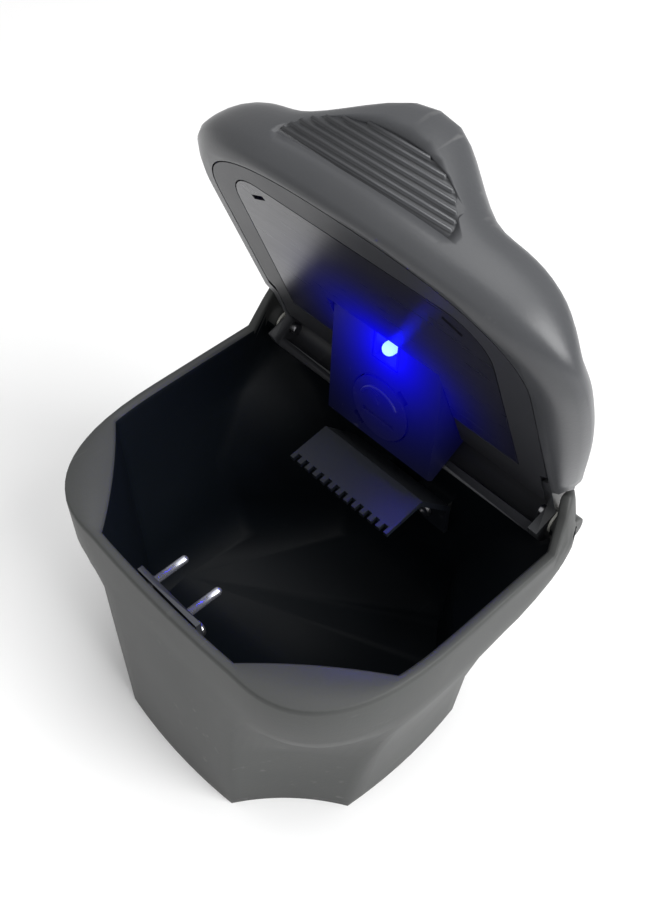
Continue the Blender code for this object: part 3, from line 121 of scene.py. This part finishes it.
class Effects:
    """The shader groups that several finishes share."""

    def __init__(self) -> None:
        """Build each group once."""
        self.moulded = self._moulded()
        self.brushed = self._brushed()
        self.wear = self._wear()
        self.glow = self._glow()

    @staticmethod
    def _add(group: bpy.types.NodeTree, kind: str, **values: object) -> bpy.types.Node:
        """Add a node and set its properties."""
        node = group.nodes.new(kind)
        for key, value in values.items():
            setattr(node, key, value)
        return node

    def _noise(self, group: bpy.types.NodeTree, vector: bpy.types.NodeSocket, detail: float,
               rough: float) -> bpy.types.Node:
        """Add a noise texture on the given coordinates."""
        node = self._add(group, "ShaderNodeTexNoise")
        node.inputs["Detail"].default_value = detail
        node.inputs["Roughness"].default_value = rough
        group.links.new(vector, node.inputs["Vector"])
        return node

    def _shade(self, group: bpy.types.NodeTree, factor: bpy.types.NodeSocket) -> bpy.types.NodeSocket:
        """Lighten and darken the group's colour by a factor about one half.

        Returns:
            The shaded colour's socket.
        """
        source = group.nodes["in"]
        centred = self._add(group, "ShaderNodeMath", operation="SUBTRACT")
        group.links.new(factor, centred.inputs[0])
        centred.inputs[1].default_value = 0.5
        scaled = self._add(group, "ShaderNodeMath", operation="MULTIPLY_ADD")
        group.links.new(centred.outputs[0], scaled.inputs[0])
        group.links.new(source.outputs["Mottle"], scaled.inputs[1])
        scaled.inputs[2].default_value = 1.0
        tint = self._add(group, "ShaderNodeVectorMath", operation="SCALE")
        group.links.new(source.outputs["Colour"], tint.inputs[0])
        group.links.new(scaled.outputs[0], tint.inputs["Scale"])
        return tint.outputs[0]

    def _spread(self, group: bpy.types.NodeTree, factor: bpy.types.NodeSocket) -> bpy.types.NodeSocket:
        """Vary the group's roughness by a factor, and return the socket."""
        source = group.nodes["in"]
        centred = self._add(group, "ShaderNodeMath", operation="SUBTRACT")
        group.links.new(factor, centred.inputs[0])
        centred.inputs[1].default_value = 0.5
        rough = self._add(group, "ShaderNodeMath", operation="MULTIPLY_ADD")
        group.links.new(centred.outputs[0], rough.inputs[0])
        group.links.new(source.outputs["Spread"], rough.inputs[1])
        group.links.new(source.outputs["Roughness"], rough.inputs[2])
        return rough.outputs[0]

    def _moulded(self) -> bpy.types.NodeTree:
        """Fine spark-eroded grain with soft flow marks, as on moulded plastic."""
        group = new_group("moulded_grain", [
            ("Colour", "NodeSocketColor", (0.1, 0.1, 0.1, 1.0)), ("Roughness", "NodeSocketFloat", 0.5),
            ("Spread", "NodeSocketFloat", 0.2), ("Mottle", "NodeSocketFloat", 0.2),
            ("Grain", "NodeSocketFloat", 1500.0), ("Flow", "NodeSocketFloat", 40.0)],
            [("Colour", "NodeSocketColor"), ("Roughness", "NodeSocketFloat"),
             ("Height", "NodeSocketFloat")])
        source, sink, links = group.nodes["in"], group.nodes["out"], group.links
        place = self._add(group, "ShaderNodeTexCoord").outputs["Object"]
        grain = self._noise(group, place, 3.0, 0.6)
        links.new(source.outputs["Grain"], grain.inputs["Scale"])
        flow = self._noise(group, place, 4.0, 0.55)
        links.new(source.outputs["Flow"], flow.inputs["Scale"])
        blend = self._add(group, "ShaderNodeMath", operation="MULTIPLY_ADD")
        links.new(grain.outputs["Fac"], blend.inputs[0])
        blend.inputs[1].default_value = GRAIN_SHARE
        links.new(flow.outputs["Fac"], blend.inputs[2])
        factor = self._add(group, "ShaderNodeMath", operation="SUBTRACT")
        links.new(blend.outputs[0], factor.inputs[0])
        factor.inputs[1].default_value = GRAIN_SHARE / 2
        links.new(self._shade(group, factor.outputs[0]), sink.inputs["Colour"])
        links.new(self._spread(group, flow.outputs["Fac"]), sink.inputs["Roughness"])
        links.new(grain.outputs["Fac"], sink.inputs["Height"])
        return group

    def _brushed(self) -> bpy.types.NodeTree:
        """Fine straight lines, as on rolled or brushed sheet."""
        group = new_group("brushed_lines", [
            ("Colour", "NodeSocketColor", (0.5, 0.5, 0.5, 1.0)), ("Roughness", "NodeSocketFloat", 0.3),
            ("Spread", "NodeSocketFloat", 0.2), ("Mottle", "NodeSocketFloat", 0.2),
            ("Grain", "NodeSocketFloat", 900.0), ("Flow", "NodeSocketFloat", 30.0)],
            [("Colour", "NodeSocketColor"), ("Roughness", "NodeSocketFloat"),
             ("Height", "NodeSocketFloat")])
        source, sink, links = group.nodes["in"], group.nodes["out"], group.links
        place = self._add(group, "ShaderNodeTexCoord").outputs["Object"]
        stretch = self._add(group, "ShaderNodeMapping")
        stretch.inputs["Scale"].default_value = LINE_STRETCH
        links.new(place, stretch.inputs["Vector"])
        lines = self._noise(group, stretch.outputs["Vector"], 2.0, 0.7)
        links.new(source.outputs["Grain"], lines.inputs["Scale"])
        flow = self._noise(group, place, 3.0, 0.5)
        links.new(source.outputs["Flow"], flow.inputs["Scale"])
        links.new(self._shade(group, flow.outputs["Fac"]), sink.inputs["Colour"])
        links.new(self._spread(group, lines.outputs["Fac"]), sink.inputs["Roughness"])
        links.new(lines.outputs["Fac"], sink.inputs["Height"])
        return group

    def _wear(self) -> bpy.types.NodeTree:
        """Thin pale scuffs and a film of dust that gathers on faces turned upward."""
        group = new_group("scuffs_and_dust", [
            ("Colour", "NodeSocketColor", (0.1, 0.1, 0.1, 1.0)), ("Roughness", "NodeSocketFloat", 0.5),
            ("Scuffs", "NodeSocketFloat", 0.1), ("Dust", "NodeSocketFloat", 0.05)],
            [("Colour", "NodeSocketColor"), ("Roughness", "NodeSocketFloat")])
        source, sink, links = group.nodes["in"], group.nodes["out"], group.links
        place = self._add(group, "ShaderNodeTexCoord").outputs["Object"]
        turn = self._add(group, "ShaderNodeMapping")
        turn.inputs["Rotation"].default_value = SCUFF_TURN
        turn.inputs["Scale"].default_value = SCUFF_STRETCH
        links.new(place, turn.inputs["Vector"])
        lines = self._noise(group, turn.outputs["Vector"], 2.0, 0.5)
        lines.inputs["Scale"].default_value = SCUFF_SCALE
        thin = self._add(group, "ShaderNodeMapRange", clamp=True)
        links.new(lines.outputs["Fac"], thin.inputs["Value"])
        thin.inputs["From Min"].default_value, thin.inputs["From Max"].default_value = SCUFF_RANGE
        patch = self._noise(group, place, 2.0, 0.5)
        patch.inputs["Scale"].default_value = PATCH_SCALE
        patches = self._add(group, "ShaderNodeMapRange", clamp=True)
        links.new(patch.outputs["Fac"], patches.inputs["Value"])
        patches.inputs["From Min"].default_value, patches.inputs["From Max"].default_value = PATCH_RANGE
        both = self._add(group, "ShaderNodeMath", operation="MULTIPLY")
        links.new(thin.outputs[0], both.inputs[0])
        links.new(patches.outputs[0], both.inputs[1])
        scuff = self._add(group, "ShaderNodeMath", operation="MULTIPLY")
        links.new(both.outputs[0], scuff.inputs[0])
        links.new(source.outputs["Scuffs"], scuff.inputs[1])
        facing = self._add(group, "ShaderNodeNewGeometry")
        split = self._add(group, "ShaderNodeSeparateXYZ")
        links.new(facing.outputs["Normal"], split.inputs[0])
        up = self._add(group, "ShaderNodeMapRange", clamp=True)
        links.new(split.outputs["Z"], up.inputs["Value"])
        up.inputs["From Min"].default_value = DUST_SLOPE
        dust = self._add(group, "ShaderNodeMath", operation="MULTIPLY")
        links.new(up.outputs[0], dust.inputs[0])
        links.new(source.outputs["Dust"], dust.inputs[1])
        total = self._add(group, "ShaderNodeMath", operation="ADD", use_clamp=True)
        links.new(scuff.outputs[0], total.inputs[0])
        links.new(dust.outputs[0], total.inputs[1])
        mix = self._add(group, "ShaderNodeMix", data_type="RGBA")
        links.new(total.outputs[0], mix.inputs["Factor"])
        links.new(source.outputs["Colour"], mix.inputs[MIX_FIRST])
        mix.inputs[MIX_SECOND].default_value = DUST_COLOUR
        links.new(mix.outputs[MIX_RESULT], sink.inputs["Colour"])
        rough = self._add(group, "ShaderNodeMath", operation="MULTIPLY_ADD")
        links.new(total.outputs[0], rough.inputs[0])
        rough.inputs[1].default_value = DUST_ROUGHNESS
        links.new(source.outputs["Roughness"], rough.inputs[2])
        links.new(rough.outputs[0], sink.inputs["Roughness"])
        return group

    def _glow(self) -> bpy.types.NodeTree:
        """Painted blue lamp glow, emitted by the surface itself and fading with distance from the lamp,
        and the surface going black under it.
        """
        group = new_group("painted_blue_glow", [
            ("Colour", "NodeSocketColor", (0.1, 0.1, 0.1, 1.0)),
            ("Centre", "NodeSocketVector", (0.0, 0.0, 0.0)),
            ("Reach", "NodeSocketFloat", 0.0052), ("Tint", "NodeSocketColor", (0.01, 0.006, 2.6, 1.0))],
            [("Colour", "NodeSocketColor"), ("Glow", "NodeSocketColor")])
        source, sink, links = group.nodes["in"], group.nodes["out"], group.links
        place = self._add(group, "ShaderNodeTexCoord").outputs["Object"]
        apart = self._add(group, "ShaderNodeVectorMath", operation="DISTANCE")
        links.new(place, apart.inputs[0])
        links.new(source.outputs["Centre"], apart.inputs[1])
        steps = self._add(group, "ShaderNodeMath", operation="DIVIDE")
        links.new(apart.outputs["Value"], steps.inputs[0])
        links.new(source.outputs["Reach"], steps.inputs[1])
        falling = self._add(group, "ShaderNodeMath", operation="MULTIPLY")
        links.new(steps.outputs[0], falling.inputs[0])
        falling.inputs[1].default_value = -1.0
        fade = self._add(group, "ShaderNodeMath", operation="EXPONENT")
        links.new(falling.outputs[0], fade.inputs[0])
        glow = self._add(group, "ShaderNodeVectorMath", operation="SCALE")
        links.new(source.outputs["Tint"], glow.inputs[0])
        links.new(fade.outputs[0], glow.inputs["Scale"])
        links.new(glow.outputs[0], sink.inputs["Glow"])
        keep = self._add(group, "ShaderNodeMath", operation="MULTIPLY_ADD", use_clamp=True)
        links.new(fade.outputs[0], keep.inputs[0])
        keep.inputs[1].default_value = GLOW_SHADE
        keep.inputs[2].default_value = 1.0
        dark = self._add(group, "ShaderNodeVectorMath", operation="SCALE")
        links.new(source.outputs["Colour"], dark.inputs[0])
        links.new(keep.outputs[0], dark.inputs["Scale"])
        links.new(dark.outputs[0], sink.inputs["Colour"])
        return group


EFFECTS = Effects()
LAMP_PLACE = sum((Vector(corner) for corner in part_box("led")), Vector()) / 2
# centre of the painted blue lamp glow, set a little off the lamp
GLOW_SHIFT = Vector((0.0008, 0.0, 0.001))
GLOW_PLACE = LAMP_PLACE + GLOW_SHIFT


# --- finishes -------------------------------------------------------------------------------------
@dataclass(frozen=True)
class Finish:
    """One surface finish: a Principled shader fed by the shared effects."""

    name: str
    colour: Colour
    roughness: float
    detail: Detail = Detail.MOULDED
    metallic: float = 0.0
    coat: float = 0.0
    grain: float = 1500.0
    flow: float = 40.0
    spread: float = 0.15
    mottle: float = 0.18
    relief: float = 0.08
    relief_size: float = 0.0002
    scuffs: float = 0.12
    dust: float = 0.02
    specular: float = 0.5
    emission: Optional[Colour] = None
    glow: float = 0.0
    # whether the finish carries the painted blue lamp glow and is darkened under it
    takes_painted_glow: bool = False

    def build(self) -> bpy.types.Material:
        """Make the material.

        Returns:
            The new material, ready for a slot.
        """
        material = bpy.data.materials.new(self.name)
        material.use_nodes = True
        tree = material.node_tree
        shader = tree.nodes["Principled BSDF"]
        shader.inputs["Metallic"].default_value = self.metallic
        shader.inputs["Coat Weight"].default_value = self.coat
        shader.inputs["Specular IOR Level"].default_value = self.specular
        if self.emission:
            shader.inputs["Emission Color"].default_value = (*self.emission, 1.0)
            shader.inputs["Emission Strength"].default_value = self.glow
        surface = tree.nodes.new("ShaderNodeGroup")
        surface.node_tree = EFFECTS.moulded if self.detail is Detail.MOULDED else EFFECTS.brushed
        values = {"Colour": (*self.colour, 1.0), "Roughness": self.roughness, "Spread": self.spread,
                  "Mottle": self.mottle, "Grain": self.grain, "Flow": self.flow}
        for label, value in values.items():
            surface.inputs[label].default_value = value
        wear = tree.nodes.new("ShaderNodeGroup")
        wear.node_tree = EFFECTS.wear
        wear.inputs["Scuffs"].default_value = self.scuffs
        wear.inputs["Dust"].default_value = self.dust
        tree.links.new(surface.outputs["Colour"], wear.inputs["Colour"])
        tree.links.new(surface.outputs["Roughness"], wear.inputs["Roughness"])
        colour = wear.outputs["Colour"]
        if self.takes_painted_glow:
            colour = self._paint_blue_glow(tree, shader, colour)
        tree.links.new(colour, shader.inputs["Base Color"])
        tree.links.new(wear.outputs["Roughness"], shader.inputs["Roughness"])
        bump = tree.nodes.new("ShaderNodeBump")
        bump.inputs["Strength"].default_value = self.relief
        bump.inputs["Distance"].default_value = self.relief_size
        tree.links.new(surface.outputs["Height"], bump.inputs["Height"])
        tree.links.new(bump.outputs["Normal"], shader.inputs["Normal"])
        return material

    @staticmethod
    def _paint_blue_glow(tree: bpy.types.NodeTree, shader: bpy.types.Node,
                   colour: bpy.types.NodeSocket) -> bpy.types.NodeSocket:
        """Paint the lamp's blue glow over the surface as emission, standing in for the lamp's light.

        Args:
            tree: The material's tree.
            shader: Its Principled shader.
            colour: The surface colour without the glow.

        Returns:
            The surface colour's socket, darker under the painted glow.
        """
        glow = tree.nodes.new("ShaderNodeGroup")
        glow.node_tree = EFFECTS.glow
        glow.inputs["Centre"].default_value = GLOW_PLACE
        tree.links.new(colour, glow.inputs["Colour"])
        tree.links.new(glow.outputs["Glow"], shader.inputs["Emission Color"])
        shader.inputs["Emission Strength"].default_value = 1.0
        return glow.outputs["Colour"]


BUCKET_OUTSIDE = Finish("bucket_outside", (0.042, 0.044, 0.043), 0.5, relief=0.12, mottle=0.35,
                        specular=0.35)
# the inside's near-black colour is painted shade of the deep cavity, with a faint blue cast of the lamp's
# light painted in
CAVITY_PAINTED_SHADE = Finish("cavity_painted_shade", (0.0045, 0.0065, 0.009), 0.5, mottle=0.6, relief=0.12, scuffs=0.01,
                       dust=0.001, specular=0.12)
LID_OUTSIDE = Finish("lid_outside", (0.05, 0.052, 0.057), 0.34, relief=0.1, mottle=0.35)
LID_BAND = Finish("lid_band", (0.034, 0.035, 0.04), 0.42, relief=0.1)
# the shield, case, cover and reflector finishes carry the painted blue lamp glow
SHIELD = Finish("heat_shield_sheet", (0.12, 0.12, 0.125), 0.3, Detail.BRUSHED, metallic=0.9, grain=1400.0,
                relief=0.05, mottle=0.12, scuffs=0.1, takes_painted_glow=True)
CASE = Finish("light_case_plastic", (0.008, 0.009, 0.013), 0.42, relief=0.08, mottle=0.3,
              specular=0.2, takes_painted_glow=True)
COVER = Finish("cover_plastic", (0.012, 0.012, 0.017), 0.34, relief=0.06, specular=0.3, takes_painted_glow=True)
GRATE = Finish("grate_paint", (0.014, 0.017, 0.024), 0.4, metallic=0.2, relief=0.14, mottle=0.4)
PRONGS = Finish("rest_wire", (0.42, 0.43, 0.48), 0.28, Detail.BRUSHED, metallic=0.85, relief=0.04)
REST_PLATE = Finish("rest_plate", (0.05, 0.053, 0.062), 0.4, metallic=0.4)
STEEL = Finish("turned_steel", (0.5, 0.5, 0.52), 0.3, Detail.BRUSHED, metallic=1.0, relief=0.05)
NYLON = Finish("nylon", (0.55, 0.55, 0.5), 0.5)
CELL = Finish("cell_steel", (0.62, 0.62, 0.62), 0.24, Detail.BRUSHED, metallic=1.0, relief=0.04)
BRASS = Finish("contact_brass", (0.62, 0.46, 0.2), 0.3, Detail.BRUSHED, metallic=1.0)
BOARD = Finish("board_lacquer", (0.02, 0.12, 0.05), 0.35, coat=0.3)
LAMP = Finish("lamp_epoxy", (0.25, 0.55, 1.0), 0.12, relief=0.01, scuffs=0.0, dust=0.0,
              emission=(0.0019, 0.0034, 1.0), glow=250.0)
REFLECTOR = Finish("reflector_cup", (0.01, 0.01, 0.03), 0.45, Detail.BRUSHED, specular=0.2,
                   takes_painted_glow=True)
RESISTOR = Finish("resistor_lacquer", (0.35, 0.25, 0.12), 0.4)
RED_WIRE = Finish("red_insulation", (0.4, 0.02, 0.02), 0.4)
BLACK_WIRE = Finish("black_insulation", (0.012, 0.012, 0.012), 0.4)


def dress(node: str, *finishes: Finish) -> None:
    """Give a carried-over CAD node its finish."""
    item = frame["nodes"][node]
    item.data.materials.clear()
    for finish in finishes:
        item.data.materials.append(finish.build())


def copy_of(node: str, name: str) -> bpy.types.Object:
    """Copy a CAD node's mesh into a new, merged piece.

    Args:
        node: The CAD node's name.
        name: The new piece's name.

    Returns:
        The new object, at the origin.
    """
    source = frame["nodes"][node]
    mesh = bpy.data.meshes.new(name)
    shape = bmesh.new()
    shape.from_mesh(source.data)
    bmesh.ops.remove_doubles(shape, verts=shape.verts, dist=WELD)
    bmesh.ops.recalc_face_normals(shape, faces=shape.faces)
    shape.to_mesh(mesh)
    shape.free()
    piece = bpy.data.objects.new(name, mesh)
    bpy.context.scene.collection.objects.link(piece)
    return piece


def smooth(piece: bpy.types.Object, degrees: float) -> None:
    """Shade a piece smooth up to the given angle between faces."""
    bpy.ops.object.select_all(action="DESELECT")
    piece.select_set(True)
    bpy.context.view_layer.objects.active = piece
    bpy.ops.object.shade_smooth_by_angle(angle=math.radians(degrees))


def sort_faces(piece: bpy.types.Object, finishes: list[Finish],
               choose: Callable[[Vector, Vector], int]) -> None:
    """Give each face of a piece one of several finishes.

    Args:
        piece: The piece.
        finishes: The finishes, in slot order.
        choose: Gives a slot index for a face's centre and normal.
    """
    piece.data.materials.clear()
    for finish in finishes:
        piece.data.materials.append(finish.build())
    for face in piece.data.polygons:
        face.material_index = choose(face.center, face.normal)


# --- the ashtray --------------------------------------------------------------------------------------
@dataclass
class Bucket:
    """The tapered tub, its grate and its cigarette rest."""

    underside: float = 0.00234
    rim_height: float = 0.0592
    rim_band: float = 0.0004
    ledge_floor: float = 0.05
    ledge_slope: float = 0.5
    rim_end: float = 0.028
    rim_slope: float = 0.4
    ledge_end: float = 0.004
    prong_root: float = -0.0294
    tub_smoothing: float = 32.0
    rest_smoothing: float = 40.0

    def _side(self, centre: Vector, normal: Vector) -> int:
        """Tell the inside, which takes the darker painted-shade finish, from the outside.

        Args:
            centre: A face's centre.
            normal: Its normal.

        Returns:
            1 for the inside, 0 for the outside.
        """
        if centre.z < self.underside or centre.z > self.rim_height + self.rim_band:
            return 0
        if centre.z < self.ledge_floor and normal.z > self.ledge_slope:
            return 1
        inward = normal.x * centre.x + normal.y * centre.y < 0
        on_rim = centre.z > self.rim_height - self.rim_band and centre.y < self.rim_end
        if on_rim and normal.z > self.rim_slope:
            return 0
        front_ledge = (centre.y < self.ledge_end and centre.z > self.ledge_floor
                       and normal.z > self.ledge_slope)
        return 1 if inward and not front_ledge else 0

    def build(self) -> None:
        """Make and dress the bucket and the pieces fixed in it."""
        shell = copy_of("bucket", "bucket_tub")
        # inward faces take the painted-shade finish, the rest the outside finish
        sort_faces(shell, [BUCKET_OUTSIDE, CAVITY_PAINTED_SHADE], self._side)
        smooth(shell, self.tub_smoothing)
        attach(shell, "bucket_body")
        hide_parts("bucket")
        dress("snuffer_plate", GRATE)
        rest = copy_of("cigarette_rest", "rest_with_prongs")
        sort_faces(rest, [REST_PLATE, PRONGS], lambda centre, _: int(centre.y > self.prong_root))
        smooth(rest, self.rest_smoothing)
        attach(rest, "bucket_body")
        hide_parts("cigarette_rest")
        for name in ("snuffer_screw", "rest_screw", "hinge_pin", "friction_washer"):
            for side in ("left", "right"):
                dress(f"{name}_{side}", NYLON if name == "friction_washer" else STEEL)
        LOG.info("bucket done")


@dataclass
class Lid:
    """The hood with its inner band and bright plate."""

    hood_smoothing: float = 38.0

    def build(self) -> None:
        """Dress the lid's pieces."""
        hood = copy_of("lid_shell", "lid_hood")
        hood.data.materials.append(LID_OUTSIDE.build())
        smooth(hood, self.hood_smoothing)
        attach(hood, "lid_body")
        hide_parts("lid_shell")
        dress("lid_inner_frame", LID_BAND)
        dress("heat_shield", SHIELD)
        LOG.info("lid done")


@dataclass
class LightUnit:
    """The battery box with its cover and blue lamp."""

    ridge_radius: float = 0.0053
    ridge_thickness: float = 0.00035
    ridge_start: float = 160.0
    ridge_sweep: float = 130.0
    ridge_steps: int = 26
    ridge_sides: int = 12
    ridge_smoothing: float = 50.0

    def build(self) -> None:
        """Dress the light unit and add the grip ridge on its cover."""
        finishes = {"light_case": CASE, "battery_cover": COVER, "coin_cell": CELL,
                    "contact_positive": BRASS, "contact_negative": BRASS,
                    "lead_positive": RED_WIRE, "lead_negative": BLACK_WIRE,
                    "led": LAMP, "led_reflector": REFLECTOR, "light_board": BOARD, "resistor": RESISTOR,
                    "tilt_switch": CELL, "case_screw_left": STEEL, "case_screw_right": STEEL}
        for node, finish in finishes.items():
            dress(node, finish)
        self._ridge()
        LOG.info("light unit done")

    def _ridge(self) -> None:
        """Raise a curved finger ridge on the battery cover's face."""
        turning = next(joint for joint in frame["record"]["behaviour"]["joints"]
                       if joint["name"] == "battery_cover_turn")
        out = Vector(turning["axis"]).normalized()
        low, high = (Vector(corner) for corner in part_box("battery_cover"))
        centre = Vector(((low.x + high.x) / 2, low.y, (low.z + high.z) / 2))
        centre -= out * self.ridge_thickness
        across = Vector((1.0, 0.0, 0.0))
        above = out.cross(across).normalized()
        angle = math.radians(self.ridge_start)
        spoke = across * math.cos(angle) + above * math.sin(angle)
        place = Matrix.Translation(centre + spoke * self.ridge_radius)
        turn = out.cross(spoke).normalized().to_track_quat("Z", "Y").to_matrix().to_4x4()
        bpy.ops.object.select_all(action="DESELECT")
        bpy.ops.mesh.primitive_circle_add(vertices=self.ridge_sides, radius=self.ridge_thickness,
                                          fill_type="NGON")
        ridge = bpy.context.object
        ridge.name = ridge.data.name = "cover_finger_ridge"
        ridge.matrix_world = place @ turn
        bpy.ops.object.transform_apply(location=True, rotation=True, scale=True)
        bpy.ops.object.mode_set(mode="EDIT")
        bpy.ops.mesh.select_all(action="SELECT")
        bpy.ops.mesh.spin(steps=self.ridge_steps, angle=math.radians(self.ridge_sweep), center=centre,
                          axis=out)
        bpy.ops.mesh.select_all(action="SELECT")
        bpy.ops.mesh.normals_make_consistent(inside=False)
        bpy.ops.object.mode_set(mode="OBJECT")
        ridge.data.materials.append(COVER.build())
        smooth(ridge, self.ridge_smoothing)
        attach(ridge, "cover_body")


# --- studio -----------------------------------------------------------------------------------------
@dataclass
class Studio:
    """Pale floor, soft lights and the camera."""

    azimuth: float = 47.09
    elevation: float = 49.12
    roll: float = -0.67
    distance: float = 0.19598
    target: Colour = (0.01306, 0.0, 0.0867)
    lens: float = 44.45
    sensor: float = 36.0
    near: float = 0.01
    floor_size: float = 3.0
    floor_colour: tuple[float, float, float, float] = (0.93, 0.93, 0.93, 1.0)
    floor_roughness: float = 0.9
    floor_gloss: float = 0.1
    room_strength: float = 0.5
    aim: Colour = (0.0, 0.0, 0.05)

    def build(self) -> None:
        """Make the floor, the lights and the camera."""
        scene = bpy.context.scene
        scene.view_settings.view_transform = "Standard"
        self._floor()
        self._world(scene)
        self._lights()
        self._camera(scene)
        LOG.info("studio done")

    def _floor(self) -> None:
        """Add the plain pale floor."""
        bpy.ops.mesh.primitive_plane_add(size=self.floor_size, location=(0.0, 0.0, 0.0))
        floor = bpy.context.object
        floor.name = "studio_floor"
        material = bpy.data.materials.new("pale_floor")
        material.use_nodes = True
        shader = material.node_tree.nodes["Principled BSDF"]
        shader.inputs["Base Color"].default_value = self.floor_colour
        shader.inputs["Roughness"].default_value = self.floor_roughness
        shader.inputs["Specular IOR Level"].default_value = self.floor_gloss
        floor.data.materials.append(material)
        floor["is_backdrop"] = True

    def _world(self, scene: bpy.types.Scene) -> None:
        """Light everything softly from all round."""
        world = bpy.data.worlds.new("soft_room")
        world.use_nodes = True
        background = world.node_tree.nodes["Background"]
        background.inputs["Color"].default_value = (1.0, 1.0, 1.0, 1.0)
        background.inputs["Strength"].default_value = self.room_strength
        scene.world = world

    def _area(self, name: str, place: Colour, size: float, power: float) -> None:
        """Add a soft square light.

        Args:
            name: The light's name.
            place: Its place, in metres.
            size: The square's side, in metres.
            power: Its power, in watts.
        """
        data = bpy.data.lights.new(name, "AREA")
        data.energy = power
        data.size = size
        lamp = bpy.data.objects.new(name, data)
        lamp.location = place
        lamp.rotation_euler = (Vector(self.aim) - Vector(place)).to_track_quat("-Z", "Y").to_euler()
        bpy.context.scene.collection.objects.link(lamp)

    def _lights(self) -> None:
        """Add a key light from the right and a larger light overhead."""
        self._area("key", place=(0.55, 0.1, 0.5), size=0.5, power=5.5)
        self._area("top", place=(0.0, 0.2, 1.2), size=0.9, power=6.0)

    def _camera(self, scene: bpy.types.Scene) -> None:
        """Place the camera and make it the scene's."""
        turn, lift, roll = (math.radians(value) for value in (self.azimuth, self.elevation, self.roll))
        look = Vector((-math.sin(turn) * math.cos(lift), math.cos(turn) * math.cos(lift), -math.sin(lift)))
        across = look.cross(Vector((0.0, 0.0, 1.0))).normalized()
        above = across.cross(look)
        right = across * math.cos(roll) + above * math.sin(roll)
        up = above * math.cos(roll) - across * math.sin(roll)
        place = Vector(self.target) - look * self.distance
        data = bpy.data.cameras.new("camera")
        data.sensor_fit = "VERTICAL"
        data.sensor_height = self.sensor
        data.lens = self.lens
        data.clip_start = self.near
        camera = bpy.data.objects.new("camera", data)
        camera.matrix_world = Matrix(((right.x, up.x, -look.x, place.x), (right.y, up.y, -look.y, place.y),
                                      (right.z, up.z, -look.z, place.z), (0.0, 0.0, 0.0, 1.0)))
        scene.collection.objects.link(camera)
        scene.camera = camera


def main() -> None:
    """Build every sub-assembly, then the studio."""
    for assembly in (Bucket(), Lid(), LightUnit(), Studio()):
        assembly.build()
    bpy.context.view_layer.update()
    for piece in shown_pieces():
        LOG.info("piece %s", piece.name)


if __name__ == "__main__":
    logging.basicConfig(level=logging.INFO)
    main()
